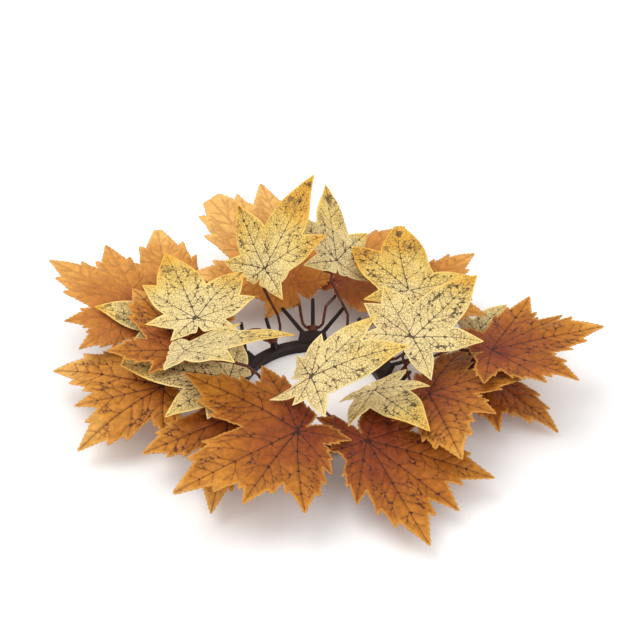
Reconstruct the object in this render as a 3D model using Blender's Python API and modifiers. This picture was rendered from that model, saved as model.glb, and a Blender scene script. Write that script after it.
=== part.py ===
"""Maple-leaf candle ring for a table.

A flat moulded ring carries six hubs, each with a fan of three prongs, and six
single stub prongs between them.  A forked leaf stem is threaded on the middle
prong of each hub and on each stub, and each fork carries two fabric leaves.

Metres, +Z up, the front is -Y.  The origin lies on the table, under the middle
of the overall box.
"""

import math

import bmesh
import bpy
from mathutils import Matrix, Vector

MM = 0.001

# ---- the ring that the leaf places below were chosen for ----
PLACED_BORE_R = 40.0 * MM
PLACED_HEIGHT = 5.0 * MM

# ---- clearance kept between two pieces that touch ----
GAP = 0.3 * MM

# ---- the moulded ring ----
RING_X = -1.9 * MM  # the ring's centre, from the middle of the overall box
RING_Y = -7.1 * MM
RING_BORE_R = 40.0 * MM
RING_BAND = 7.0 * MM
RING_HEIGHT = 5.0 * MM
RING_EDGE = 1.0 * MM  # chamfer along the band's edges
RING_STEPS = 48

# ---- hubs: a wedge plate that leans outward and holds three prongs ----
HUB_COUNT = 6
HUB_FIRST = 90.0  # degrees, the hub at the back
HUB_LEAN = 45.0  # degrees above the table
HUB_WIDTH = 15.0 * MM
HUB_THICK = 4.0 * MM
HUB_REACH = 8.0 * MM
HUB_SINK = 3.0 * MM  # how far the plate starts inside the band

# ---- prongs ----
PRONG_R = 1.3 * MM
PRONG_TIP_R = 1.1 * MM
PRONG_LENGTH = 20.0 * MM
PRONG_FAN = 40.0  # degrees between the middle prong and a side prong
PRONG_SPREAD = 4.6 * MM  # between the roots of neighbouring prongs
PRONG_START = 1.0 * MM  # how far inside the hub or foot a prong begins
PRONG_STEPS = 10

# ---- stubs: single prongs straight on the band ----
STUB_FIRST = 60.0  # degrees
STUB_LEAN = 55.0  # degrees above the table
STUB_LENGTH = 16.0 * MM
STUB_FOOT_R = 2.6 * MM
STUB_FOOT_H = 2.5 * MM

# ---- forked stems ----
EYELET_WALL = 1.3 * MM
EYELET_HEIGHT = 3.0 * MM
STEM_R = 0.9 * MM
STEM_CUTS = 2  # straight pieces between two points of its route
STEM_RISE = 13.0 * MM  # how far a stem follows its prong before it turns
STEM_SPREAD = 6.0 * MM  # how far apart the stems of a fork turn up
STEM_BEHIND = 10.0 * MM  # how far behind and below the leaf the stem comes in
STEM_BELOW = 5.0 * MM
STEM_UNDER = 5.0 * MM  # how far the stem runs on under the leaf

# ---- leaf blades ----
BLADE_THICK = 0.8 * MM
BLADE_RINGS = 2

# Half outlines, from the tip of the middle lobe round to the stem: degrees from
# the middle lobe, and distance from the vein junction as a share of leaf size.
MAPLE_HALF = [
    (0, 1.00), (9, 0.76), (20, 0.70), (25, 0.52), (30, 0.42), (41, 0.60),
    (50, 0.70), (57, 0.90), (64, 0.70), (73, 0.66), (79, 0.46), (86, 0.36),
    (101, 0.44), (114, 0.60), (125, 0.42), (138, 0.36), (156, 0.18), (180, 0.07),
]
GUM_HALF = [
    (0, 1.00), (6, 0.88), (12, 0.74), (18, 0.58), (24, 0.44), (29, 0.37),
    (37, 0.50), (46, 0.70), (57, 0.57), (69, 0.40), (80, 0.31), (94, 0.38),
    (108, 0.46), (124, 0.38), (146, 0.24), (180, 0.09),
]
# A maple leaf whose basal lobes are tucked in beside its stem.
TUCKED_HALF = MAPLE_HALF[:11] + [
    (86, 0.34), (98, 0.35), (111, 0.36), (124, 0.31), (138, 0.24), (156, 0.15), (180, 0.07),
]
OUTLINES = {"maple": MAPLE_HALF, "tucked": TUCKED_HALF, "gum": GUM_HALF}

# Each fork: name, "hub" or "stub", and its place in that row, counted
# anticlockwise from the first.
FORKS = [
    ("leaf_fork_01", "hub", 0),
    ("leaf_fork_02", "hub", 1),
    ("leaf_fork_03", "hub", 2),
    ("leaf_fork_04", "hub", 3),
    ("leaf_fork_05", "hub", 4),
    ("leaf_fork_06", "hub", 5),
    ("leaf_fork_07", "stub", 0),
    ("leaf_fork_08", "stub", 1),
    ("leaf_fork_09", "stub", 2),
    ("leaf_fork_10", "stub", 3),
    ("leaf_fork_11", "stub", 4),
    ("leaf_fork_12", "stub", 5),
]

# Each leaf: name, kind, fork, then the place of its vein junction from the ring's
# centre in mm (x, y, height), the heading of its middle lobe, its pitch and its
# roll in degrees, its size in mm, its droop and its keel (rise per width).
LEAVES = [
    ("maple_leaf_01", "tucked", "leaf_fork_01", (-14, 78, 22), (132, 22, -6), 78, 0.10, 0.00),
    ("maple_leaf_02", "maple", "leaf_fork_01", (18, 87, 18), (55, 5, -5), 70, 0.10, 0.00),
    ("maple_leaf_03", "tucked", "leaf_fork_02", (-100, 29, 35), (160, 15, -2), 70, 0.10, 0.00),
    ("maple_leaf_04", "maple", "leaf_fork_02", (-78, 46, 15), (105, 17, 0), 78, 0.10, 0.00),
    ("maple_leaf_05", "maple", "leaf_fork_03", (-83, -17, 24), (163, 5, -8), 73, 0.14, 0.00),
    ("maple_leaf_06", "tucked", "leaf_fork_03", (-46, -47, 27), (262, -14, -4), 56, 0.10, 0.00),
    ("maple_leaf_07", "maple", "leaf_fork_04", (-8, -64, 34), (217, 4, -10), 76, 0.10, 0.00),
    ("maple_leaf_08", "tucked", "leaf_fork_04", (29, -62, 25), (300, -8, -2), 75, 0.10, 0.00),
    ("maple_leaf_09", "tucked", "leaf_fork_05", (64, -27, 27), (350, 16, -8), 70, 0.10, 0.00),
    ("maple_leaf_10", "tucked", "leaf_fork_05", (90, 5, 17), (330, -6, -5), 62, 0.10, 0.00),
    ("maple_leaf_11", "maple", "leaf_fork_06", (100, -3, 38), (12, 6, -8), 70, 0.10, 0.00),
    ("maple_leaf_12", "tucked", "leaf_fork_06", (54, 54, 28), (38, 14, 0), 56, 0.10, 0.00),
    ("maple_leaf_13", "tucked", "leaf_fork_09", (-74, -7, 42), (115, 8, 4), 68, 0.10, 0.00),
    ("gum_leaf_01", "gum", "leaf_fork_08", (-28, 56, 50), (52, 45, -5), 62, 0.10, 0.00),
    ("gum_leaf_02", "gum", "leaf_fork_08", (-65, 8, 52), (103, 5, 0), 62, 0.10, 0.00),
    ("gum_leaf_03", "gum", "leaf_fork_10", (-69, -29, 60), (5, 15, -22), 60, 0.10, 0.00),
    ("gum_leaf_04", "gum", "leaf_fork_10", (-46, -22, 34), (185, 5, 2), 62, 0.10, 0.00),
    ("gum_leaf_05", "gum", "leaf_fork_07", (56, 46, 42), (85, 8, 0), 60, 0.10, 0.00),
    ("gum_leaf_06", "gum", "leaf_fork_12", (56, 2, 43), (48, 15, 5), 60, 0.10, 0.00),
    ("gum_leaf_07", "gum", "leaf_fork_11", (-1, -40, 51), (355, 25, 18), 62, 0.10, 0.00),
    ("gum_leaf_08", "gum", "leaf_fork_11", (34, -25, 28), (290, 18, 10), 54, 0.10, 0.00),
    ("gum_leaf_09", "gum", "leaf_fork_07", (14, 69, 46), (95, 25, 35), 54, 0.10, 0.00),
    ("gum_leaf_10", "gum", "leaf_fork_09", (-78, 24, 35), (175, 14, -11), 48, 0.10, 0.00),
    ("gum_leaf_11", "gum", "leaf_fork_12", (96, 34, 20), (10, 3, -2), 52, 0.10, 0.00),
]

# Stems that go round a neighbour: the places they pass through, from the ring's
# centre in mm.
STEM_VIA = {
    "maple_leaf_03": [(-56, 25, 20), (-70, 32, 28), (-85, 30, 30.5), (-94, 30, 31)],
    "maple_leaf_04": [(-58, 30, 12), (-72, 36, 8)],
    "maple_leaf_09": [(60, -36, 21)],
    "maple_leaf_10": [(60, -18, 12), (74, -6, 12)],
    "maple_leaf_11": [(68, 20, 27), (84, 6, 31)],
    "maple_leaf_13": [(-56, -9, 17), (-63, -14, 24), (-73, -11, 33)],
    "gum_leaf_02": [(-31, 37, 20), (-38, 26, 28), (-44, 10, 38), (-57, 3, 47)],
    "gum_leaf_03": [(-27, -36, 22), (-26, -26, 32), (-36, -22, 43), (-52, -26, 51)],
    "gum_leaf_11": [(55, 8, 20), (66, 9, 22), (84, 25, 17)],
}

COLORS = {
    "ring": (0.035, 0.018, 0.014),
    "stem": (0.160, 0.050, 0.028),
    "maple": (0.620, 0.230, 0.045),
    "gum": (0.850, 0.620, 0.220),
}

for old in list(bpy.data.objects):
    bpy.data.objects.remove(old, do_unlink=True)

parts = bpy.data.collections.new("maple_leaf_candle_ring")
cutters = bpy.data.collections.new("cutters")
bpy.context.scene.collection.children.link(parts)
bpy.context.scene.collection.children.link(cutters)


def make_material(name, color, roughness):
    material = bpy.data.materials.new(name)
    material.use_nodes = True
    shader = material.node_tree.nodes["Principled BSDF"]
    shader.inputs["Base Color"].default_value = (*color, 1.0)
    shader.inputs["Roughness"].default_value = roughness
    shader.inputs["Metallic"].default_value = 0.0
    return material


def add_object(name, mesh, collection, matrix=None):
    thing = bpy.data.objects.new(name, mesh)
    collection.objects.link(thing)
    if matrix is not None:
        thing.matrix_world = matrix
    return thing


def add_operand(name, mesh, matrix):
    """A closed mesh that a Boolean joins to another object."""
    thing = add_object(name, mesh, cutters, matrix)
    thing.hide_render = True
    thing.display_type = "WIRE"
    return thing


def join_solid(target, operand):
    union = target.modifiers.new("join_" + operand.name, "BOOLEAN")
    union.operation = "UNION"
    union.solver = "MANIFOLD"  # EXACT leaves a loose cap inside at some sizes
    union.object = operand


def turned_mesh(name, profile, steps):
    """Turns a profile of (radius, height) round Z, given from its top down its outside."""
    mesh = bpy.data.meshes.new(name + "_profile")
    points = [(radius, 0.0, height) for radius, height in profile]
    closed = profile[0][0] > 0.0
    edges = [(i, i + 1) for i in range(len(points) - 1)]
    if closed:
        edges.append((len(points) - 1, 0))
    mesh.from_pydata(points, edges, [])
    shape = bpy.data.objects.new(name + "_profile", mesh)
    cutters.objects.link(shape)
    screw = shape.modifiers.new("turn", "SCREW")
    screw.steps = steps
    screw.render_steps = steps
    screw.use_merge_vertices = True
    screw.merge_threshold = 0.01 * MM
    solid = evaluated_mesh(name, shape)
    bpy.data.objects.remove(shape, do_unlink=True)
    return solid


def evaluated_mesh(name, shape):
    graph = bpy.context.evaluated_depsgraph_get()
    solid = bpy.data.meshes.new_from_object(shape.evaluated_get(graph))
    solid.name = name
    work = bmesh.new()
    work.from_mesh(solid)
    bmesh.ops.remove_doubles(work, verts=work.verts, dist=0.01 * MM)
    bmesh.ops.recalc_face_normals(work, faces=work.faces)
    work.to_mesh(solid)
    work.free()
    solid.shade_smooth()
    solid.set_sharp_from_angle(angle=math.radians(40.0))
    return solid


def axes_matrix(origin, x_axis, y_axis, z_axis):
    turn = Matrix((x_axis, y_axis, z_axis)).transposed().to_4x4()
    return Matrix.Translation(origin) @ turn


def along(origin, direction, side):
    """A frame at origin whose Z runs along direction and whose X runs along side."""
    z_axis = direction.normalized()
    y_axis = z_axis.cross(side).normalized()
    return axes_matrix(origin, y_axis.cross(z_axis), y_axis, z_axis)


RING_CENTRE = Vector((RING_X, RING_Y, 0.0))
UP = Vector((0.0, 0.0, 1.0))


def outward(azimuth):
    angle = math.radians(azimuth)
    return Vector((math.cos(angle), math.sin(angle), 0.0))


def leaning(azimuth, lean):
    angle = math.radians(lean)
    return outward(azimuth) * math.cos(angle) + UP * math.sin(angle)


def hub_azimuth(k):
    return HUB_FIRST + k * 360.0 / HUB_COUNT


def stub_azimuth(k):
    return STUB_FIRST + k * 360.0 / HUB_COUNT


def hub_root(k):
    """Where the middle prong's axis starts, inside the band."""
    radius = RING_BORE_R + RING_BAND - HUB_SINK
    return RING_CENTRE + outward(hub_azimuth(k)) * radius + UP * (RING_HEIGHT / 2)


def stub_root(k):
    radius = RING_BORE_R + RING_BAND / 2
    return RING_CENTRE + outward(stub_azimuth(k)) * radius + UP * (RING_HEIGHT / 2)


def prong_profile(length):
    """A prong from its axis start at zero, slightly tapered, with a rounded tip."""
    return [
        (0.0, length),
        (PRONG_TIP_R * 0.7, length - PRONG_TIP_R * 0.3),
        (PRONG_TIP_R, length - PRONG_TIP_R),
        (PRONG_R, PRONG_START),
        (0.0, PRONG_START),
    ]


def make_ring():
    inner = RING_BORE_R
    outer = RING_BORE_R + RING_BAND
    edge = RING_EDGE
    band_profile = [
        (inner + edge, RING_HEIGHT),
        (outer - edge, RING_HEIGHT),
        (outer, RING_HEIGHT - edge),
        (outer, 0.0),
        (inner, 0.0),
        (inner, RING_HEIGHT - edge),
    ]
    band = turned_mesh("ring_base", band_profile, RING_STEPS)
    ring = add_object("ring_base", band, parts, Matrix.Translation(RING_CENTRE))

    plate = bpy.data.meshes.new("hub_plate")
    work = bmesh.new()
    bmesh.ops.create_cube(work, size=1.0)
    bmesh.ops.scale(work, vec=(HUB_WIDTH, HUB_THICK, HUB_REACH), verts=work.verts)
    bmesh.ops.translate(work, vec=(0, 0, HUB_REACH / 2), verts=work.verts)
    for vert in work.verts:
        if vert.co.z < HUB_REACH / 2:
            vert.co.x *= 1.25  # the plate widens where it meets the band
    work.to_mesh(plate)
    work.free()

    prong = turned_mesh("hub_prong", prong_profile(HUB_REACH + PRONG_LENGTH), PRONG_STEPS)
    side_reach = HUB_REACH / 2 + PRONG_LENGTH
    side_prong = turned_mesh("side_prong", prong_profile(side_reach), PRONG_STEPS)
    stub = turned_mesh("stub_prong", prong_profile(stub_seat() + STUB_LENGTH), PRONG_STEPS)
    foot_profile = [
        (0.0, stub_seat()),
        (STUB_FOOT_R * 0.8, stub_seat()),
        (STUB_FOOT_R, stub_seat() - STUB_FOOT_H),
        (STUB_FOOT_R, 0.0),
        (0.0, 0.0),
    ]
    foot = turned_mesh("stub_foot", foot_profile, PRONG_STEPS)

    for k in range(HUB_COUNT):
        azimuth = hub_azimuth(k)
        lean = leaning(azimuth, HUB_LEAN)
        side = UP.cross(outward(azimuth))
        root = hub_root(k)
        frame = along(root, lean, side)
        join_solid(ring, add_operand(f"hub_plate_{k + 1}", plate, frame))
        join_solid(ring, add_operand(f"hub_prong_{k + 1}", prong, frame))
        for sign in (-1, 1):
            turn = math.radians(PRONG_FAN) * sign
            direction = lean * math.cos(turn) + side * math.sin(turn)
            start = root + lean * (HUB_REACH / 2) + side * sign * (PRONG_SPREAD - PRONG_R)
            name = f"side_prong_{k + 1}_{'right' if sign > 0 else 'left'}"
            side_frame = along(start, direction, lean)
            join_solid(ring, add_operand(name, side_prong, side_frame))
        lean = leaning(stub_azimuth(k), STUB_LEAN)
        side = UP.cross(outward(stub_azimuth(k)))
        frame = along(stub_root(k), lean, side)
        join_solid(ring, add_operand(f"stub_foot_{k + 1}", foot, frame))
        join_solid(ring, add_operand(f"stub_prong_{k + 1}", stub, frame))
    return ring


def stub_seat():
    """How far along a stub's axis its foot ends and the fork can sit."""
    return RING_HEIGHT / 2 / math.sin(math.radians(STUB_LEAN)) + STUB_FOOT_H


def fork_seat(row, place):
    """A fork's seat: its axis direction, its sideways direction and its eyelet's base."""
    if row == "hub":
        azimuth = hub_azimuth(place)
        direction = leaning(azimuth, HUB_LEAN)
        base = hub_root(place) + direction * (HUB_REACH + GAP)
    else:
        azimuth = stub_azimuth(place)
        direction = leaning(azimuth, STUB_LEAN)
        base = stub_root(place) + direction * (stub_seat() + GAP)
    return direction, UP.cross(outward(azimuth)), base


def fork_spot(row, place, spot):
    """A point chosen for one fork, moved with the fork's root as the ring's sizes change."""
    azimuth = hub_azimuth(place) if row == "hub" else stub_azimuth(place)
    moved = outward(azimuth) * (RING_BORE_R - PLACED_BORE_R) + UP * (RING_HEIGHT - PLACED_HEIGHT)
    return RING_CENTRE + Vector(spot) * MM + moved


def leaf_frame(origin, angles):
    """The blade's frame: X along its middle lobe, Z out of its upper face."""
    heading, pitch, roll = (math.radians(angle) for angle in angles)
    forward = Vector((
        math.cos(heading) * math.cos(pitch),
        math.sin(heading) * math.cos(pitch),
        math.sin(pitch),
    ))
    level = Vector((-math.sin(heading), math.cos(heading), 0.0))
    above = forward.cross(level)
    left = level * math.cos(roll) + above * math.sin(roll)
    return axes_matrix(origin, forward, left, forward.cross(left))


def full_outline(half):
    return half + [(360 - angle, reach) for angle, reach in half[-2:0:-1]]


def blade_mesh(name, kind, size, droop, keel):
    """A lobed disc: a fan round the vein junction, its spokes cut into rings."""
    outline = full_outline(OUTLINES[kind])
    work = bmesh.new()
    bmesh.ops.create_circle(work, cap_ends=True, cap_tris=True, segments=len(outline), radius=1.0)
    spokes = [edge for edge in work.edges if min(v.co.length for v in edge.verts) < 0.5]
    bmesh.ops.subdivide_edges(work, edges=spokes, cuts=BLADE_RINGS - 1)
    step = 360.0 / len(outline)
    for vert in work.verts:
        share = vert.co.length
        turn = math.degrees(math.atan2(-vert.co.x, vert.co.y)) % 360.0  # it starts at +Y
        angle, reach = outline[round(turn / step) % len(outline)]
        distance = share * reach * size * MM
        along_lobe = distance * math.cos(math.radians(angle))
        across = distance * math.sin(math.radians(angle))
        rise = keel * abs(across) - droop * distance * distance / (size * MM)
        vert.co = (along_lobe, across, rise)
    bmesh.ops.triangulate(work, faces=work.faces)
    mesh = bpy.data.meshes.new(name)
    work.to_mesh(mesh)
    work.free()
    mesh.shade_smooth()
    return mesh


def smooth_route(points, leaving):
    """Points along the Catmull-Rom spline through the points, leaving towards the last."""
    ends = [points[0] * 2 - points[1], *points, leaving]
    route = []
    for a, b, c, d in zip(ends, ends[1:], ends[2:], ends[3:]):
        for i in range(STEM_CUTS):
            t = i / STEM_CUTS
            route.append((
                b * 2 + (c - a) * t
                + (a * 2 - b * 5 + c * 4 - d) * t**2
                + (b * 3 - a - c * 3 + d) * t**3
            ) * 0.5)
    return route + [points[-1]]


def tube_mesh(name, route, radius):
    curve = bpy.data.curves.new(name, "CURVE")
    curve.dimensions = "3D"
    curve.bevel_depth = radius
    curve.bevel_resolution = 1
    curve.use_fill_caps = True
    spline = curve.splines.new("POLY")
    spline.points.add(len(route) - 1)
    for point, place in zip(spline.points, route):
        point.co = (*place, 1.0)
    shape = bpy.data.objects.new(name, curve)
    cutters.objects.link(shape)
    solid = evaluated_mesh(name, shape)
    bpy.data.objects.remove(shape, do_unlink=True)
    return solid


def stem_route(via, direction, side, middle, leaf_matrix):
    """From the eyelet's wall up beside the prong, then in under the leaf."""
    forward = leaf_matrix.col[0].xyz
    above = leaf_matrix.col[2].xyz
    junction = leaf_matrix.translation - above * (BLADE_THICK / 2 + GAP + STEM_R)
    wall = PRONG_R + GAP + EYELET_WALL / 2
    points = [
        middle + side * wall,
        middle + side * STEM_SPREAD + direction * (STEM_RISE * 0.2),
    ]
    if via:
        points += via
    else:
        points.append(middle + side * (STEM_SPREAD * 1.3) + direction * STEM_RISE)
        points.append(junction - forward * STEM_BEHIND - above * STEM_BELOW)
    points.append(junction)
    tip = junction + forward * STEM_UNDER
    return smooth_route(points, tip) + [tip]


def make_fork(name, row, place, leaves, stem_material):
    direction, side, base = fork_seat(row, place)
    seat = along(base, direction, side)
    pivot = bpy.data.objects.new(name + "_pivot", None)
    pivot.empty_display_size = 5.0 * MM
    parts.objects.link(pivot)
    pivot.matrix_world = seat
    bore = PRONG_R + GAP
    eyelet_profile = [
        (bore, EYELET_HEIGHT),
        (bore + EYELET_WALL, EYELET_HEIGHT),
        (bore + EYELET_WALL, 0.0),
        (bore, 0.0),
    ]
    eyelet = turned_mesh(name, eyelet_profile, PRONG_STEPS + 2)
    fork = add_object(name, eyelet, parts, seat)
    fork.data.materials.append(stem_material)
    middle = base + direction * (EYELET_HEIGHT / 2)
    frames = [leaf_frame(fork_spot(row, place, leaf[3]), leaf[4]) for leaf in leaves]
    reach = [(frame.translation - middle).dot(side) for frame in frames]
    for leaf, frame, here in zip(leaves, frames, reach):
        hand = side if here == max(reach) else -side
        via = [fork_spot(row, place, spot) for spot in STEM_VIA.get(leaf[0], [])]
        route = stem_route(via, direction, hand, middle, frame)
        tube = tube_mesh(leaf[0] + "_stem", route, STEM_R)
        join_solid(fork, add_operand(leaf[0] + "_stem", tube, Matrix()))
    return fork, pivot


def keep_place(child, parent):
    child.parent = parent
    child.matrix_parent_inverse = parent.matrix_world.inverted()


materials = {
    "ring": make_material("dark_brown_plastic", COLORS["ring"], 0.45),
    "stem": make_material("red_brown_plastic", COLORS["stem"], 0.50),
    "maple": make_material("orange_leaf_fabric", COLORS["maple"], 0.70),
    "gum": make_material("yellow_leaf_fabric", COLORS["gum"], 0.70),
}

ring_base = make_ring()
ring_base.data.materials.append(materials["ring"])

for fork_name, row, place in FORKS:
    own_leaves = [leaf for leaf in LEAVES if leaf[2] == fork_name]
    fork, pivot = make_fork(fork_name, row, place, own_leaves, materials["stem"])
    bpy.context.view_layer.update()
    keep_place(fork, pivot)
    for leaf_name, kind, _, spot, angles, size, droop, keel in own_leaves:
        mesh = blade_mesh(leaf_name, kind, size, droop, keel)
        mesh.materials.append(materials["gum" if kind == "gum" else "maple"])
        blade_frame = leaf_frame(fork_spot(row, place, spot), angles)
        blade = add_object(leaf_name, mesh, parts, blade_frame)
        skin = blade.modifiers.new("thickness", "SOLIDIFY")
        skin.thickness = BLADE_THICK
        skin.offset = 0.0
        keep_place(blade, pivot)
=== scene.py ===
"""Maple-leaf candle ring: the fine surface, lights and camera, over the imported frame."""
import math
import random

import bmesh
import bpy
import numpy as np
from mathutils import Matrix, Vector
from mathutils.geometry import delaunay_2d_cdt


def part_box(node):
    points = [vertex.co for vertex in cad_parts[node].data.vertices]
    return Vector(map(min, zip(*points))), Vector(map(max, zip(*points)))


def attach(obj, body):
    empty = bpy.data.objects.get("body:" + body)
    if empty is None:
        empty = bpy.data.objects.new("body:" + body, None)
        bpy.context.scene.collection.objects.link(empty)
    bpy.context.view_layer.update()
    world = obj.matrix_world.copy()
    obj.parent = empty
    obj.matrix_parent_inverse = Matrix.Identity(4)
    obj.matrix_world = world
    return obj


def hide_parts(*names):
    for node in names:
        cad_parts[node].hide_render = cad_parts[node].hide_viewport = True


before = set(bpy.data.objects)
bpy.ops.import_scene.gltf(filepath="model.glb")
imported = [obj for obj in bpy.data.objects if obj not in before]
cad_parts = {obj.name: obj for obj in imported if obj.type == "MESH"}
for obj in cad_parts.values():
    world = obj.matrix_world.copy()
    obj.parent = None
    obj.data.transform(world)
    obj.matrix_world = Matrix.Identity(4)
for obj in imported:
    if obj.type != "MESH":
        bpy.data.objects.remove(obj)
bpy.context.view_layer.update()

MM = 0.001
CM = 0.01
scene = bpy.context.scene

ring_low, ring_high = (Vector(corner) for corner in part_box("ring_base"))
RING = Vector(((ring_low.x + ring_high.x) / 2, (ring_low.y + ring_high.y) / 2, 0.0))

# ---- materials -------------------------------------------------------------------
# Leaf materials read the blade's own attributes. "place" is the point on the flat leaf in
# centimetres, moved by a different amount on each leaf. "vein" and "edge" are the distances
# to the nearest vein and to the rim, in mm. "heart" is 0 at the vein junction and about 1 at
# the tips, and "tone" is the leaf's own shift to darker or lighter.
FABRIC_GLOSS = 0.22
PLASTIC_GLOSS = 0.25
WEAVE_SCALE = 9.0
WEAVE_HEIGHT = 0.03 * MM
CRUMPLE_HEIGHT = 0.9 * MM
PRINT_VEIN_WIDTH = 1.1  # mm from a vein to where the fabric is level again


class Shader:
    """A material's node tree, built with short calls."""

    def __init__(self, name):
        self.material = bpy.data.materials.new(name)
        self.material.use_nodes = True
        self.tree = self.material.node_tree
        self.base = self.tree.nodes["Principled BSDF"]

    def node(self, kind, **settings):
        made = self.tree.nodes.new("ShaderNode" + kind)
        for key, value in settings.items():
            setattr(made, key, value)
        return made

    def feed(self, socket, value):
        if isinstance(value, bpy.types.NodeSocket):
            self.tree.links.new(value, socket)
        elif isinstance(value, (tuple, list)) and len(value) == 3 and socket.type == "RGBA":
            socket.default_value = (*value, 1.0)
        else:
            socket.default_value = value

    def attribute(self, name, vector=False):
        made = self.node("Attribute", attribute_name=name)
        return made.outputs["Vector" if vector else "Fac"]

    def math(self, operation, a, b=0.0, c=0.0):
        made = self.node("Math", operation=operation)
        for socket, value in zip(made.inputs, (a, b, c)):
            self.feed(socket, value)
        return made.outputs[0]

    def fade(self, value, start, end, low=0.0, high=1.0):
        """low where value is at start, high at end, smooth between them."""
        made = self.node("MapRange", interpolation_type="SMOOTHSTEP")
        for socket, number in zip(made.inputs, (value, start, end, low, high)):
            self.feed(socket, number)
        return made.outputs[0]

    def noise(self, vector, scale, detail=2.0, rough=0.5, warp=0.0):
        made = self.node("TexNoise")
        self.feed(made.inputs["Vector"], vector)
        made.inputs["Scale"].default_value = scale
        made.inputs["Detail"].default_value = detail
        made.inputs["Roughness"].default_value = rough
        made.inputs["Distortion"].default_value = warp
        return made.outputs[0]

    def cells(self, vector, scale, feature="DISTANCE_TO_EDGE"):
        made = self.node("TexVoronoi", feature=feature)
        self.feed(made.inputs["Vector"], vector)
        made.inputs["Scale"].default_value = scale
        return made.outputs["Distance"]

    def wave(self, vector, scale, direction):
        made = self.node("TexWave", bands_direction=direction)
        self.feed(made.inputs["Vector"], vector)
        made.inputs["Scale"].default_value = scale
        return made.outputs["Fac"]

    def mix(self, factor, a, b, blend="MIX"):
        made = self.node("Mix", data_type="RGBA", blend_type=blend)
        self.feed(made.inputs[0], factor)
        self.feed(made.inputs[6], a)
        self.feed(made.inputs[7], b)
        return made.outputs[2]

    def ramp(self, factor, stops):
        made = self.node("ValToRGB")
        self.feed(made.inputs[0], factor)
        points = made.color_ramp.elements
        while len(points) < len(stops):
            points.new(0.5)
        for point, (place, color) in zip(points, stops):
            point.position = place
            point.color = (*color, 1.0)
        return made.outputs[0]

    def warped(self, vector, amount, scale):
        """The vector, pushed about by noise."""
        push = self.node("TexNoise")
        self.feed(push.inputs["Vector"], vector)
        push.inputs["Scale"].default_value = scale
        made = self.node("VectorMath", operation="MULTIPLY_ADD")
        self.feed(made.inputs[0], push.outputs["Color"])
        made.inputs[1].default_value = (amount, amount, amount)
        self.feed(made.inputs[2], vector)
        return made.outputs[0]

    def bump(self, height, distance, under=None):
        made = self.node("Bump")
        made.inputs["Distance"].default_value = distance
        self.feed(made.inputs["Height"], height)
        if under is not None:
            self.feed(made.inputs["Normal"], under)
        return made.outputs[0]

    def finish(self, color, roughness, normal, specular):
        self.feed(self.base.inputs["Base Color"], color)
        self.feed(self.base.inputs["Roughness"], roughness)
        self.feed(self.base.inputs["Normal"], normal)
        self.base.inputs["Specular IOR Level"].default_value = specular
        return self.material


def weave(s, place):
    """The fine cross weave of the leaf fabric, as a height."""
    warp = s.wave(place, WEAVE_SCALE, "X")
    weft = s.wave(place, WEAVE_SCALE, "Y")
    return s.math("MULTIPLY_ADD", warp, 0.5, s.math("MULTIPLY", weft, 0.5))


def leaf_normal(s, place, vein, rib):
    """Sunk or raised veins (rib in mm, negative on the underside), crumple and weave."""
    level = s.fade(vein, 0.0, PRINT_VEIN_WIDTH)
    veins = s.bump(level, rib * MM)
    crumple = s.bump(s.noise(place, 1.6, 3.0), CRUMPLE_HEIGHT, veins)
    return s.bump(weave(s, place), WEAVE_HEIGHT, crumple)


def ripeness(s, place, scale, spread):
    """A cloudy value that drives a leaf's colour: darker at the heart, lighter at the tips."""
    cloud = s.noise(place, scale, 3.0)
    cloud = s.math("MULTIPLY_ADD", cloud, spread, -spread / 2)
    cloud = s.math("ADD", cloud, s.attribute("heart"))
    return s.math("ADD", cloud, s.attribute("tone"))


def maple_print():
    s = Shader("maple_printed_fabric")
    place = s.attribute("place", vector=True)
    vein, edge = s.attribute("vein"), s.attribute("edge")
    color = s.ramp(ripeness(s, place, 0.55, 0.55), [
        (0.00, (0.190, 0.032, 0.007)), (0.20, (0.290, 0.070, 0.008)),
        (0.46, (0.400, 0.130, 0.011)), (0.75, (0.545, 0.220, 0.026)),
        (1.00, (0.710, 0.370, 0.085)),
    ])
    mottle = s.fade(s.noise(place, 3.2, 4.0, 0.6), 0.35, 0.65, 0.80, 1.12)
    color = s.mix(1.0, color, mottle, "MULTIPLY")
    color = s.mix(s.fade(edge, 1.4, 0.1, 0.0, 0.55), color, (0.720, 0.350, 0.070))
    halo = s.fade(vein, 0.9, 0.0, 0.0, 0.30)
    color = s.mix(halo, color, (0.220, 0.048, 0.012))
    squiggle = s.math("SUBTRACT", s.noise(place, 2.6, 1.0, 0.5, 0.6), 0.5)
    squiggle = s.math("ABSOLUTE", squiggle)
    patch = s.fade(s.noise(place, 0.8), 0.46, 0.62)
    line = s.math("MULTIPLY", s.fade(squiggle, 0.012, 0.004), patch)
    color = s.mix(s.math("MULTIPLY", line, 0.55), color, (0.070, 0.016, 0.008))
    fleck = s.fade(s.cells(place, 11.0, "F1"), 0.20, 0.12)
    some = s.fade(s.noise(place, 2.0, 2.0), 0.48, 0.60)
    fleck = s.math("MULTIPLY", s.math("MULTIPLY", fleck, some), 0.60)
    color = s.mix(fleck, color, (0.050, 0.012, 0.008))
    color = s.mix(s.fade(vein, 0.10, -0.08, 0.0, 0.92), color, (0.035, 0.009, 0.006))
    rough = s.fade(s.noise(place, 5.0), 0.3, 0.7, 0.52, 0.68)
    return s.finish(color, rough, leaf_normal(s, place, vein, 0.35), FABRIC_GLOSS)


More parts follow.
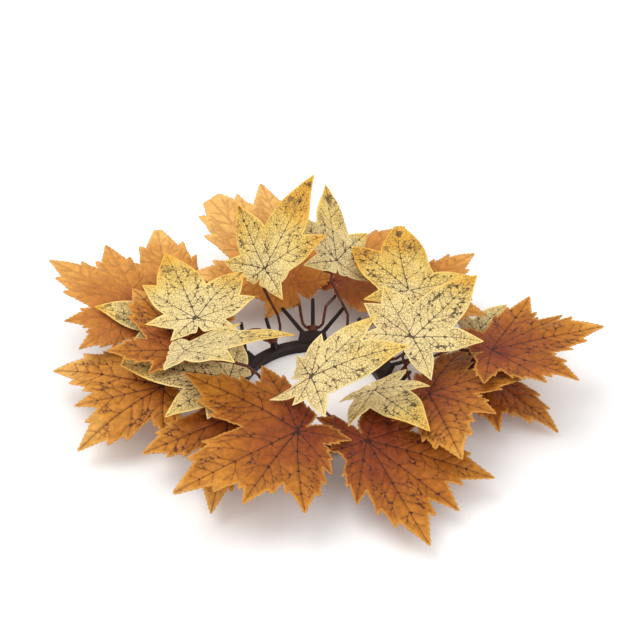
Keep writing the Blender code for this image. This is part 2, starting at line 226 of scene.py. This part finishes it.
def maple_plain():
    s = Shader("maple_fabric_underside")
    place = s.attribute("place", vector=True)
    vein, edge = s.attribute("vein"), s.attribute("edge")
    # The dark stops at the heart are partly the leaf's own brick-red base and partly painted
    # shade, for the inner parts of the back leaves that lie in shadow.
    color = s.ramp(ripeness(s, place, 0.6, 0.5), [
        (0.00, (0.200, 0.040, 0.010)), (0.30, (0.420, 0.130, 0.020)),
        (0.55, (0.540, 0.215, 0.036)), (0.80, (0.640, 0.290, 0.060)),
        (1.00, (0.780, 0.430, 0.120)),
    ])
    mottle = s.fade(s.noise(place, 3.4, 4.0, 0.6), 0.35, 0.65, 0.86, 1.08)
    color = s.mix(1.0, color, mottle, "MULTIPLY")
    color = s.mix(s.fade(vein, 0.9, -0.1, 0.0, 0.35), color, (0.340, 0.120, 0.035))
    color = s.mix(s.fade(edge, 0.8, 0.0, 0.0, 0.4), color, (0.720, 0.380, 0.120))
    return s.finish(color, 0.66, leaf_normal(s, place, vein, -0.5), FABRIC_GLOSS)


def gum_print():
    s = Shader("gum_printed_fabric")
    place = s.attribute("place", vector=True)
    vein, edge = s.attribute("vein"), s.attribute("edge")
    color = s.ramp(ripeness(s, place, 0.6, 0.7), [
        (0.00, (0.850, 0.680, 0.330)), (0.42, (0.870, 0.690, 0.300)),
        (0.74, (0.860, 0.600, 0.150)), (1.00, (0.820, 0.440, 0.055)),
    ])
    bent = s.warped(place, 0.10, 3.0)
    dense = s.fade(s.noise(place, 0.9, 2.0), 0.34, 0.54, 0.60, 1.0)
    inner = s.fade(edge, 0.2, 1.0)
    coarse = s.fade(s.cells(bent, 5.5), 0.085, 0.035)
    fine = s.math("MULTIPLY", s.fade(s.cells(bent, 11.5), 0.12, 0.03), 0.70)
    net = s.math("MAXIMUM", coarse, fine)
    net = s.math("MULTIPLY", s.math("MULTIPLY", net, dense), inner)
    color = s.mix(s.math("MULTIPLY", net, 0.80), color, (0.100, 0.048, 0.018))
    smudge = s.fade(s.noise(place, 1.3, 4.0, 0.65), 0.53, 0.63)
    smudge = s.math("MULTIPLY", smudge, s.fade(s.attribute("heart"), 0.45, 0.80))
    smudge = s.math("MULTIPLY", s.math("MULTIPLY", smudge, inner), 0.80)
    color = s.mix(smudge, color, (0.090, 0.045, 0.020))
    color = s.mix(s.fade(vein, 0.14, -0.06, 0.0, 0.92), color, (0.040, 0.020, 0.012))
    rough = s.fade(s.noise(place, 5.0), 0.3, 0.7, 0.55, 0.70)
    return s.finish(color, rough, leaf_normal(s, place, vein, 0.2), FABRIC_GLOSS)


def gum_plain():
    s = Shader("gum_fabric_underside")
    place = s.attribute("place", vector=True)
    vein = s.attribute("vein")
    cloud = s.math("MULTIPLY_ADD", s.noise(place, 0.7, 3.0), 0.6, -0.3)
    cloud = s.math("ADD", cloud, s.attribute("heart"))
    color = s.ramp(cloud, [
        (0.00, (0.780, 0.420, 0.050)), (0.50, (0.860, 0.560, 0.110)),
        (1.00, (0.840, 0.520, 0.090)),
    ])
    color = s.mix(s.fade(vein, 0.8, -0.1, 0.0, 0.3), color, (0.620, 0.330, 0.060))
    return s.finish(color, 0.66, leaf_normal(s, place, vein, -0.4), FABRIC_GLOSS)


def stem_plastic():
    s = Shader("stem_plastic")
    place = s.node("TexCoord").outputs["Object"]
    cloud = s.noise(place, 90.0, 3.0)
    color = s.ramp(cloud, [(0.30, (0.055, 0.012, 0.007)), (0.70, (0.150, 0.038, 0.018))])
    rough = s.fade(s.noise(place, 400.0), 0.3, 0.7, 0.36, 0.55)
    grain = s.bump(s.noise(place, 700.0, 3.0), 0.10 * MM)
    return s.finish(color, rough, grain, PLASTIC_GLOSS)


def ring_plastic():
    s = Shader("ring_plastic")
    place = s.node("TexCoord").outputs["Object"]
    cloud = s.noise(place, 60.0, 3.0)
    color = s.ramp(cloud, [(0.30, (0.012, 0.006, 0.005)), (0.70, (0.028, 0.013, 0.010))])
    rough = s.fade(s.noise(place, 300.0), 0.3, 0.7, 0.30, 0.48)
    grain = s.bump(s.noise(place, 500.0, 3.0), 0.08 * MM)
    return s.finish(color, rough, grain, PLASTIC_GLOSS)


MATERIALS = {
    "maple": (maple_print(), maple_plain()),
    "gum": (gum_print(), gum_plain()),
    "stem": stem_plastic(),
    "ring": ring_plastic(),
}

# ---- leaf outlines -----------------------------------------------------------
# A lobe's edge: degrees off the lobe's own line, and share of the lobe's reach.
LOBE_EDGE = {
    "maple": [
        (0, 1.00), (2.5, 0.91), (6, 0.82), (9, 0.76), (12, 0.80), (14, 0.71),
        (17.5, 0.63), (20.5, 0.675), (22.5, 0.57), (28, 0.44), (36, 0.36),
        (60, 0.26), (180, 0.15),
    ],
    "gum": [
        (0, 1.00), (2.5, 0.92), (6, 0.83), (11, 0.735), (17, 0.64), (23, 0.545),
        (29, 0.455), (38, 0.37), (60, 0.29), (180, 0.15),
    ],
}
# The lobes of each kind: angle from the middle lobe and reach as a share of size.
LOBES = {
    "maple": [(-114, 0.60), (-57, 0.90), (0, 1.00), (57, 0.90), (114, 0.60)],
    "tucked": [(-112, 0.38), (-57, 0.90), (0, 1.00), (57, 0.90), (112, 0.38)],
    "gum": [(-108, 0.46), (-46, 0.70), (0, 1.00), (46, 0.70), (108, 0.46)],
}


# The notch at the stalk: degrees off the middle lobe, and the most that is left of the size.
NOTCH_AT = (145, 166, 180)
NOTCH_LEFT = (1.0, 0.20, 0.08)
OUTLINE_TURN = 0.1  # degrees between the points of the plain outline
OUTLINE_STEP = 0.55  # mm between the points of the toothed outline
LEAST_TURN = 0.05  # degrees between two points that are kept
TOOTH_PITCH = {"maple": (2.6, 3.2), "gum": (1.7, 2.3)}  # mm
TOOTH_HEIGHT = {"maple": 0.70, "gum": 0.16}  # mm
TOOTH_FADE = 1.5  # mm over which the teeth shrink towards a tip or a notch


def family_of(kind):
    return "gum" if kind == "gum" else "maple"


def plain_reach(kind, lobes, size, turns):
    """The outline without teeth: for each turn, the reach of the lobe that goes furthest."""
    off_line, share = zip(*LOBE_EDGE[family_of(kind)])
    reach = np.zeros(len(turns))
    for angle, far in lobes:
        off = np.abs((turns - angle + 180) % 360 - 180)
        reach = np.maximum(reach, far * size * np.interp(off, off_line, share))
    return np.minimum(reach, np.interp(np.abs(turns), NOTCH_AT, NOTCH_LEFT) * size)


def toothed_side(part, rising, pitch, tall):
    """One side of a lobe with saw teeth that point to the lobe's tip."""
    along = np.concatenate([[0.0], np.hypot(*np.diff(part, axis=0).T).cumsum()])
    length = float(along[-1])
    steps = max(1, round(length / OUTLINE_STEP))
    spots = np.linspace(0.0, length, steps + 1)
    xs, ys = (np.interp(spots, along, part[:, axis]) for axis in (0, 1))
    side = []
    for i in range(steps):
        run = np.array([xs[i + 1] - xs[i], ys[i + 1] - ys[i]])
        normal = np.array([run[1], -run[0]]) / max(1e-9, float(np.hypot(*run)))
        phase = (spots[i] / pitch) % 1.0
        saw = phase if rising else 1.0 - phase
        ends = min(1.0, spots[i] / TOOTH_FADE, (length - spots[i]) / TOOTH_FADE)
        side.append(np.array([xs[i], ys[i]]) + normal * tall * saw * ends)
    return side


def outline_of(kind, lobes, size, rng):
    """The leaf's edge as angles (degrees, rising) and radii in mm, with its teeth."""
    family = family_of(kind)
    turns = np.arange(-180.0, 180.05, OUTLINE_TURN)
    reach = plain_reach(kind, lobes, size, turns)
    edge = np.stack([reach * np.cos(np.radians(turns)), reach * np.sin(np.radians(turns))], 1)
    slope = np.sign(np.diff(reach))
    marks = [0, *(np.nonzero(np.diff(slope))[0] + 1).tolist(), len(turns) - 1]
    pitch = rng.uniform(*TOOTH_PITCH[family])
    fine = []
    for first, last in zip(marks, marks[1:]):
        rising = reach[last] > reach[first]
        fine += toothed_side(edge[first:last + 1], rising, pitch, TOOTH_HEIGHT[family])
    fine.append(edge[-1])
    fine = np.array(fine)
    angle = np.arctan2(fine[:, 1], fine[:, 0])
    angle[0] = -math.pi
    angle = np.degrees(np.unwrap(angle))
    angle[-1] = 180.0
    radius = np.hypot(fine[:, 0], fine[:, 1])
    # Only points whose angle rises are kept, so np.interp can read the outline.
    kept = [(angle[0], radius[0])]
    for a, r in zip(angle[1:], radius[1:]):
        if a > kept[-1][0] + LEAST_TURN:
            kept.append((a, r))
    if kept[-1][0] < 180.0 - OUTLINE_TURN:
        kept.append((180.0, radius[-1]))
    angles, radii = zip(*kept)
    return np.array(angles), np.array(radii)


# ---- veins -----------------------------------------------------------------------
VEIN_STEP = 1.1  # mm between a vein's points
VEIN_INSIDE = 0.94  # side veins stop at this share of the way to the edge
MAIN_REACH = 0.97  # a main vein's length as a share of its lobe's
MAIN_WIDTH = {"maple": 0.34, "gum": 0.26}  # half width at the junction, mm
SIDE_GAP = {"maple": 8.5, "gum": 7.0}  # mm between side veins
SIDE_WIDTH = 0.45  # a side vein's width as a share of its main vein's
SIDE_STEPS = 60  # the most steps a side vein takes
SIDE_FIRST, SIDE_SPAN = 0.14, 0.76  # where on a main vein the side veins start, as shares
SIDE_ALONE = 0.45  # the chance that a side vein has none opposite
SIDE_LEAVES = (42, 56)  # degrees from the main vein's line where a side vein starts
SIDE_ENDS = (12, 26)  # and the heading that it bends towards
SIDE_BEND = 0.045  # the share of that bend made in one step
TWIG_SPOTS = (0.42, 0.62)  # where twigs leave a side vein, as shares of its length
TWIG_LEAVES = (28, 42)  # degrees from the side vein
TWIG_BEND = 0.03  # radians in one step
LEAST_POINTS = 4  # shorter side veins and twigs are left out
FORKED_POINTS = 8  # side veins with more points than this get twigs
MIDDLE_BEND = 0.035  # the most a main vein bows, as a share of its length


def main_vein(angle, reach, size, thick, bend):
    radius = reach * size * MAIN_REACH
    turn = math.radians(angle)
    steps = max(8, int(radius / VEIN_STEP))
    line = []
    for j in range(steps + 1):
        t = j / steps
        side = bend * radius * math.sin(math.pi * t)
        line.append((
            radius * t * math.cos(turn) - side * math.sin(turn),
            radius * t * math.sin(turn) + side * math.cos(turn),
            thick * (1.0 - 0.75 * t) * (0.75 + 0.25 * reach),
        ))
    return line


def side_vein(start, heading, goal, span, inside):
    """From a main vein outward, curving to the goal heading, while it stays in its lobe."""
    x, y, width = start
    low, high = span
    line = [(x, y, width * SIDE_WIDTH)]
    for k in range(SIDE_STEPS):
        x += VEIN_STEP * math.cos(heading)
        y += VEIN_STEP * math.sin(heading)
        heading += (goal - heading) * SIDE_BEND
        turn = math.degrees(math.atan2(y, x))
        if not inside(x, y) or not low < turn < high:
            break
        line.append((x, y, max(0.02, width * SIDE_WIDTH * (1 - k / 26))))
    return line


def twig_vein(line, k, fork, spread, inside):
    """A short vein that leaves a side vein at its point k."""
    x, y, width = line[k]
    lean = math.atan2(y - line[k - 1][1], x - line[k - 1][0])
    lean += fork * spread
    twig = [(x, y, width * 0.7)]
    for m in range(int(len(line) * 0.5)):
        x += VEIN_STEP * math.cos(lean)
        y += VEIN_STEP * math.sin(lean)
        lean -= fork * TWIG_BEND
        if not inside(x, y):
            break
        twig.append((x, y, max(0.01, width * 0.6 * (1 - m / 14))))
    return twig


def vein_lines(kind, lobes, size, angles, radii, rng):
    """Polylines of (x, y, half width) in mm: one to each lobe, with curving side veins."""

    def inside(x, y):
        turn = math.degrees(math.atan2(y, x))
        return math.hypot(x, y) < VEIN_INSIDE * float(np.interp(turn, angles, radii))

    lines = []
    family = family_of(kind)
    for i, (angle, reach) in enumerate(lobes):
        low = (lobes[i - 1][0] + angle) / 2 if i else -178
        high = (lobes[i + 1][0] + angle) / 2 if i + 1 < len(lobes) else 178
        bend = rng.uniform(-MIDDLE_BEND, MIDDLE_BEND)
        main = main_vein(angle, reach, size, MAIN_WIDTH[family], bend)
        lines.append(main)
        steps = len(main) - 1
        count = max(3, int(reach * size * MAIN_REACH / SIDE_GAP[family]))
        hand = rng.choice((-1, 1))
        for j in range(count):
            t = SIDE_FIRST + SIDE_SPAN * j / count + rng.uniform(-0.02, 0.02)
            start = main[min(steps, int(t * steps))]
            hand = -hand
            for sign in ((hand,) if rng.random() < SIDE_ALONE else (-1, 1)):
                heading = math.radians(angle + sign * rng.uniform(*SIDE_LEAVES))
                goal = math.radians(angle + sign * rng.uniform(*SIDE_ENDS))
                line = side_vein(start, heading, goal, (low, high), inside)
                if len(line) < LEAST_POINTS:
                    continue
                lines.append(line)
                if len(line) <= FORKED_POINTS:
                    continue
                for where, fork in zip(TWIG_SPOTS, (sign, -sign)):
                    spread = math.radians(rng.uniform(*TWIG_LEAVES))
                    twig = twig_vein(line, int(where * len(line)), fork, spread, inside)
                    if len(twig) >= LEAST_POINTS:
                        lines.append(twig)
    return lines


NO_VEIN = 9.0  # mm, further than any material or bend looks for a vein
BATCH = 512  # points measured at once, to save memory


def to_veins(points, lines):
    """For each point, its distance to the nearest vein less the vein's half width, in mm."""
    starts, ends = [], []
    for line in lines:
        starts += line[:-1]
        ends += line[1:]
    a, b = np.array(starts), np.array(ends)
    run = b[:, :2] - a[:, :2]
    square = np.maximum((run ** 2).sum(1), 1e-9)
    best = np.full(len(points), NO_VEIN)
    for i in range(0, len(points), BATCH):
        gap = points[i:i + BATCH, None, :] - a[None, :, :2]
        t = np.clip((gap * run).sum(2) / square, 0, 1)
        far = np.sqrt(((gap - t[..., None] * run) ** 2).sum(2))
        width = a[:, 2] + (b[:, 2] - a[:, 2]) * t
        best[i:i + BATCH] = (far - width).min(1)
    return best


# ---- the blade -------------------------------------------------------------------
GRID = 1.4  # mm between the blade's inner points
GRID_ROW = 0.866  # a row's height in a grid of even triangles, as a share of GRID
RIM_CLEAR = 0.7  # mm from an inner point to the rim, along its own radius
RIM_NEAR = 0.5  # mm from an inner point to the nearest point of the rim
CELL = 0.45  # mm: of the points that share a cell, one is kept
THICKNESS = 0.40 * MM
DROOP = 0.10  # how far a tip hangs, as a share of the leaf's size
QUILT = 0.30  # mm that the fabric rises between its veins
WAVE = 0.9  # mm, the ripple along the rim
RUMPLE = 0.5  # mm, the uneven waves over the whole leaf
FOLD = 0.20  # the slope to each side of a lobe's main vein
FOLD_WIDTH = 8  # mm
QUILT_WIDTH = 2.0  # mm from a vein over which the fabric rises
LOBE_TURN = 16.0  # degrees to each side of a lobe's line that its curl and fold reach
CURL_FROM = 0.45  # the share of a lobe's reach where its tip starts to curl
TIP_LIFT = 1.5  # mm, the most that a tip lifts or hangs at random


def leaf_axes(place, angles):
    """The leaf's frame: x along its middle lobe, y to its left, z up out of its face."""
    heading, pitch, roll = (math.radians(angle) for angle in angles)
    forward = Vector((
        math.cos(heading) * math.cos(pitch),
        math.sin(heading) * math.cos(pitch),
        math.sin(pitch),
    ))
    level = Vector((-math.sin(heading), math.cos(heading), 0.0))
    above = forward.cross(level)
    left = level * math.cos(roll) + above * math.sin(roll)
    turn = Matrix((forward, left, forward.cross(left))).transposed().to_4x4()
    return Matrix.Translation(RING + Vector(place) * MM) @ turn


def to_rim(points, rim):
    return np.array([np.hypot(rim[:, 0] - x, rim[:, 1] - y).min() for x, y in points])


def flat_blade(size, rim, angles, radii, lines):
    """The flat leaf's points and triangles: its rim, an even grid, and all along its veins."""
    rows = np.arange(-size, size, GRID * GRID_ROW)
    cols = np.arange(-size, size, GRID)
    grid = np.array([(x + (GRID / 2 if i % 2 else 0.0), y)
                     for i, y in enumerate(rows) for x in cols])
    on_veins = np.array([(x, y) for line in lines for x, y, _ in line[1:]])
    inner = np.concatenate([grid, on_veins])
    polar = np.degrees(np.arctan2(inner[:, 1], inner[:, 0]))
    limit = np.interp(polar, angles, radii)
    inner = inner[np.hypot(inner[:, 0], inner[:, 1]) < limit - RIM_CLEAR]
    # Taken from the end, so that a vein's point wins over a point of the grid.
    cell = np.round(inner / CELL).astype(int)
    _, first = np.unique(cell[::-1], axis=0, return_index=True)
    inner = inner[::-1][np.sort(first)]
    inner = inner[to_rim(inner, rim) > RIM_NEAR]
    points = [Vector(point) for point in np.concatenate([rim, inner]).tolist()]
    rim_loop = list(range(len(rim)))
    verts, _, faces, *_ = delaunay_2d_cdt(points, [], [rim_loop], 1, 1e-5)
    return np.array([tuple(vert) for vert in verts]), [tuple(face) for face in faces]


def blade_heights(flat, vein, lobes, size, droop, curls, rng):
    """How far each point of the flat leaf is lifted or hangs, in mm."""
    radius = np.hypot(flat[:, 0], flat[:, 1])
    polar = np.degrees(np.arctan2(flat[:, 1], flat[:, 0]))
    share = radius / size
    height = -droop * radius ** 2 / size
    height += QUILT * (1.0 - np.exp(-(np.maximum(vein, 0.0) / QUILT_WIDTH) ** 2))
    phases = [rng.uniform(0, math.tau) for _ in range(3)]
    turn = np.radians(polar)
    wave = np.sin(turn * 5 + phases[0]) + 0.6 * np.sin(turn * 9 + phases[1])
    height += WAVE * wave * share ** 1.5
    rumple = RUMPLE * np.sin(flat[:, 0] * 0.21 + phases[2])
    height += rumple * np.sin(flat[:, 1] * 0.19) * share
    for i, (angle, reach) in enumerate(lobes):
        # The lobe's own tip lifts or hooks, and the lobe folds a little along its vein.
        off = (polar - angle + 180) % 360 - 180
        near = np.exp(-(off / LOBE_TURN) ** 2)
        t = np.clip((radius / (reach * size) - CURL_FROM) / (1 - CURL_FROM), 0, 1.2)
        lift = curls.get(i, rng.uniform(-TIP_LIFT, TIP_LIFT))
        height += near * t ** 2 * lift
        side = np.abs(radius * np.sin(np.radians(off)))
        height += FOLD * near * np.clip(side, 0, FOLD_WIDTH) * np.clip(share * 2, 0, 1)
    return height


def face_along(mesh, axis):
    """All faces turned the same way, with their normals along the axis."""
    work = bmesh.new()
    work.from_mesh(mesh)
    bmesh.ops.recalc_face_normals(work, faces=work.faces)
    total = sum((face.normal * face.calc_area() for face in work.faces), Vector())
    if total.dot(axis) < 0:
        bmesh.ops.reverse_faces(work, faces=work.faces)
    work.to_mesh(mesh)
    work.free()


def store(mesh, flat, shift, values):
    """The attributes that the leaf materials read."""
    spots = np.column_stack([flat / (CM / MM) + shift, np.full(len(flat), shift)])
    place = mesh.attributes.new("place", "FLOAT_VECTOR", "POINT")
    place.data.foreach_set("vector", spots.astype(np.float32).ravel())
    for label, numbers in values.items():
        made = mesh.attributes.new(label, "FLOAT", "POINT")
        made.data.foreach_set("value", numbers.astype(np.float32))


def make_blade(name, kind, body, place, angles, size, droop=DROOP, tone=0.0, face="print",
               lobes=None, curls=None):
    """One fabric leaf: its toothed outline, its veins and its own bends.

    curls gives the lift of a lobe's tip in mm, by the lobe's number. The other tips get a
    small lift at random.
    """
    rng = random.Random(name)
    lobes = lobes or LOBES[kind]
    edge_angles, edge_radii = outline_of(kind, lobes, size, rng)
    lines = vein_lines(kind, lobes, size, edge_angles, edge_radii, rng)
    turn = np.radians(edge_angles[:-1])
    rim = np.stack([edge_radii[:-1] * np.cos(turn), edge_radii[:-1] * np.sin(turn)], 1)
    flat, faces = flat_blade(size, rim, edge_angles, edge_radii, lines)
    vein = to_veins(flat, lines)
    height = blade_heights(flat, vein, lobes, size, droop, curls or {}, rng)

    axes = leaf_axes(place, angles)
    mesh = bpy.data.meshes.new(name)
    points = [axes @ Vector((x * MM, y * MM, z * MM))
              for (x, y), z in zip(flat.tolist(), height.tolist())]
    mesh.from_pydata(points, [], faces)
    mesh.validate()
    face_along(mesh, axes.col[2].xyz)
    mesh.shade_smooth()
    store(mesh, flat, rng.uniform(0, 40), {
        "vein": vein,
        "edge": to_rim(flat, rim),
        "heart": np.hypot(flat[:, 0], flat[:, 1]) / size,
        "tone": np.full(len(flat), tone),
    })
    family = family_of(kind)
    printed, plain = MATERIALS[family]
    for material in ((printed, plain) if face == "print" else (plain, printed)):
        mesh.materials.append(material)
    blade = bpy.data.objects.new(name, mesh)
    scene.collection.objects.link(blade)
    skin = blade.modifiers.new("cloth_thickness", "SOLIDIFY")
    skin.thickness = THICKNESS
    skin.offset = 0.0
    skin.material_offset = 1
    skin.material_offset_rim = 0
    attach(blade, body)
    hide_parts(name.replace("_blade", ""))


# Each leaf: kind, body, place of its vein junction in mm from the ring's middle, then heading,
# pitch and roll in degrees, size in mm, and whatever sets it apart. A roll above 0 lifts its
# left side. lobes are read from the photograph where the leaf is seen clearly enough.
LEAVES = {
    "maple_leaf_01": ("tucked", "leaf_fork_01", (-14, 78, 22), (132, 22, -6), 78, dict(
        face="plain", tone=0.30,
        lobes=[(-112, 0.38), (-64, 0.78), (-26, 1.02), (0, 1.16), (48, 0.78), (112, 0.38)])),
    "maple_leaf_02": ("maple", "leaf_fork_01", (18, 87, 18), (55, 5, -5), 70, dict(face="plain")),
    "maple_leaf_03": ("tucked", "leaf_fork_02", (-100, 29, 35), (160, 15, -2), 70, dict(
        face="plain", tone=0.05,
        lobes=[(-112, 0.40), (-47, 0.92), (-16, 1.00), (32, 0.61), (62, 0.60), (112, 0.38)])),
    "maple_leaf_04": ("maple", "leaf_fork_02", (-78, 46, 15), (105, 17, 0), 78, dict(
        face="plain", tone=0.05,
        lobes=[(-112, 0.50), (-50, 0.80), (-1, 1.06), (30, 0.56), (58, 0.80), (112, 0.50)])),
    "maple_leaf_05": ("maple", "leaf_fork_03", (-83, -17, 24), (163, 5, -8), 73, dict(
        droop=0.14, tone=0.22, curls={3: -4},
        lobes=[(-112, 0.55), (-57, 0.85), (-22, 0.58), (1, 0.93), (33, 0.70), (60, 0.84),
               (112, 0.50)])),
    "maple_leaf_06": ("tucked", "leaf_fork_03", (-46, -47, 27), (262, -14, -4), 56, {}),
    "maple_leaf_07": ("maple", "leaf_fork_04", (-8, -64, 34), (217, 4, -10), 76, dict(
        tone=-0.06, curls={2: 5, 3: -3, 5: 3},
        lobes=[(-145, 0.25), (-103, 0.67), (-65, 0.94), (-2, 1.02), (25, 0.76), (58, 0.73),
               (90, 0.42), (141, 0.39)])),
    "maple_leaf_08": ("tucked", "leaf_fork_04", (29, -62, 25), (300, -8, -2), 75, dict(
        tone=-0.16, curls={3: 3, 5: 4},
        lobes=[(-150, 0.42), (-95, 0.32), (-38, 0.57), (-4, 0.97), (21, 0.84), (45, 0.95),
               (90, 0.44), (131, 0.52)])),
    "maple_leaf_09": ("tucked", "leaf_fork_05", (64, -27, 27), (350, 16, -8), 70, dict(
        tone=-0.02,
        lobes=[(-112, 0.36), (-66, 0.91), (-30, 0.67), (22, 0.87), (76, 0.80), (116, 0.36)])),
    "maple_leaf_10": ("tucked", "leaf_fork_05", (90, 5, 17), (330, -6, -5), 62, dict(
        tone=-0.20,
        lobes=[(-112, 0.38), (-44, 0.79), (-9, 1.02), (42, 0.72), (112, 0.38)])),
    "maple_leaf_11": ("maple", "leaf_fork_06", (100, -3, 38), (12, 6, -8), 70, dict(
        tone=-0.10, curls={4: 3, 5: 5},
        lobes=[(-114, 0.45), (-63, 0.62), (-45, 0.77), (3, 0.96), (22, 0.74), (50, 0.80),
               (112, 0.50)])),
    "maple_leaf_12": ("tucked", "leaf_fork_06", (54, 54, 28), (38, 14, 0), 56, dict(face="plain")),
    "maple_leaf_13": ("tucked", "leaf_fork_09", (-74, -7, 42), (115, 8, 4), 68, dict(
        tone=0.10,
        lobes=[(-112, 0.38), (-57, 0.80), (6, 0.86), (71, 0.60), (114, 0.36)])),
    "gum_leaf_01": ("gum", "leaf_fork_08", (-28, 56, 50), (52, 45, -5), 62, dict(
        tone=0.30,
        lobes=[(-119, 0.38), (-38, 0.68), (1, 1.00), (55, 0.78), (103, 0.50), (144, 0.22)])),
    "gum_leaf_02": ("gum", "leaf_fork_08", (-65, 8, 52), (103, 5, 0), 62, dict(
        tone=0.15,
        lobes=[(-120, 0.40), (-70, 0.62), (-42, 0.84), (7, 1.02), (35, 0.71), (85, 0.46),
               (130, 0.36)])),
    "gum_leaf_03": ("gum", "leaf_fork_10", (-69, -29, 60), (5, 15, -22), 60, {}),
    "gum_leaf_04": ("gum", "leaf_fork_10", (-46, -22, 34), (185, 5, 2), 62, dict(
        tone=-0.05, curls={2: 4},
        lobes=[(-103, 0.56), (-62, 0.50), (-17, 1.08), (40, 0.76), (68, 0.58), (115, 0.40)])),
    "gum_leaf_05": ("gum", "leaf_fork_07", (56, 46, 42), (85, 8, 0), 60, dict(
        tone=0.35,
        lobes=[(-112, 0.42), (-66, 0.67), (9, 1.06), (45, 0.88), (110, 0.46)])),
    "gum_leaf_06": ("gum", "leaf_fork_12", (56, 2, 43), (48, 15, 5), 60, dict(
        lobes=[(-122, 0.51), (-55, 0.66), (1, 1.01), (62, 0.72), (84, 0.66), (120, 0.50)])),
    "gum_leaf_07": ("gum", "leaf_fork_11", (-1, -40, 51), (355, 25, 18), 62, dict(
        curls={0: 5, 1: 5},
        lobes=[(-163, 0.45), (-120, 0.32), (-76, 0.45), (5, 0.90), (37, 0.78), (76, 0.45),
               (116, 0.30)])),
    "gum_leaf_08": ("gum", "leaf_fork_11", (34, -25, 28), (290, 18, 10), 54, dict(
        tone=0.05,
        lobes=[(-108, 0.38), (-50, 0.60), (11, 0.98), (59, 0.58), (108, 0.46)])),
    "gum_leaf_09": ("gum", "leaf_fork_07", (14, 69, 46), (95, 25, 35), 54, {}),
    "gum_leaf_10": ("gum", "leaf_fork_09", (-78, 24, 35), (175, 14, -11), 48, {}),
    "gum_leaf_11": ("gum", "leaf_fork_12", (96, 34, 20), (10, 3, -2), 52, {}),
}
for leaf, (kind, body, place, angles, size, extras) in LEAVES.items():
    make_blade(leaf + "_blade", kind, body, place, angles, size, **extras)

# ---- ring and stems keep their shape and get their plastics ----------------------
for node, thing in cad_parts.items():
    if node == "ring_base" or node.startswith("leaf_fork"):
        thing.data.materials.clear()
        thing.data.materials.append(MATERIALS["ring" if node == "ring_base" else "stem"])

# ---- floor, light and camera -----------------------------------------------------
FLOOR_HALF = 3
FLOOR_GAP = 0.0002  # the floor lies this far below the table face, so they never share a plane
WORLD_LIGHT = 0.92
CAMERA_HEIGHT = math.radians(42)
CAMERA_DISTANCE = 0.9

floor_mesh = bpy.data.meshes.new("floor")
floor_mesh.from_pydata(
    [(x * FLOOR_HALF, y * FLOOR_HALF, 0) for x, y in ((-1, -1), (1, -1), (1, 1), (-1, 1))],
    [], [(0, 1, 2, 3)])
floor = bpy.data.objects.new("floor", floor_mesh)
floor.location.z = -FLOOR_GAP
scene.collection.objects.link(floor)
pale = bpy.data.materials.new("pale_floor")
pale.use_nodes = True
pale_base = pale.node_tree.nodes["Principled BSDF"]
pale_base.inputs["Base Color"].default_value = (0.93, 0.93, 0.93, 1)
pale_base.inputs["Roughness"].default_value = 0.9
floor_mesh.materials.append(pale)

world = bpy.data.worlds.new("studio")
scene.world = world
world.use_nodes = True
background = world.node_tree.nodes["Background"]
background.inputs["Color"].default_value = (1.0, 1.0, 1.0, 1.0)
background.inputs["Strength"].default_value = WORLD_LIGHT


def look_at(thing, target):
    thing.rotation_euler = (target - thing.location).to_track_quat("-Z", "Y").to_euler()


def area_light(name, place, size, power, color=(1, 1, 1)):
    data = bpy.data.lights.new(name, "AREA")
    data.shape = "DISK"
    data.size = size
    data.energy = power
    data.color = color
    lamp = bpy.data.objects.new(name, data)
    lamp.location = place
    look_at(lamp, Vector((0, 0, 0)))
    scene.collection.objects.link(lamp)


area_light("key", (-0.55, 0.15, 1.25), 1.1, 8.5, (1.0, 0.98, 0.95))
area_light("fill", (0.8, -0.9, 0.9), 1.2, 4.5)

camera_data = bpy.data.cameras.new("camera")
camera = bpy.data.objects.new("camera", camera_data)
scene.collection.objects.link(camera)
ring_face = RING + Vector((0, 0, 0.005))
camera.location = ring_face + CAMERA_DISTANCE * Vector(
    (0.0, -math.cos(CAMERA_HEIGHT), math.sin(CAMERA_HEIGHT)))
look_at(camera, ring_face)
camera_data.sensor_width = 36.0
camera_data.lens = 88.0
camera_data.shift_x = 0.01125
camera_data.shift_y = 0.1105
camera_data.clip_start = 0.01
scene.camera = camera
scene.view_settings.view_transform = "Standard"
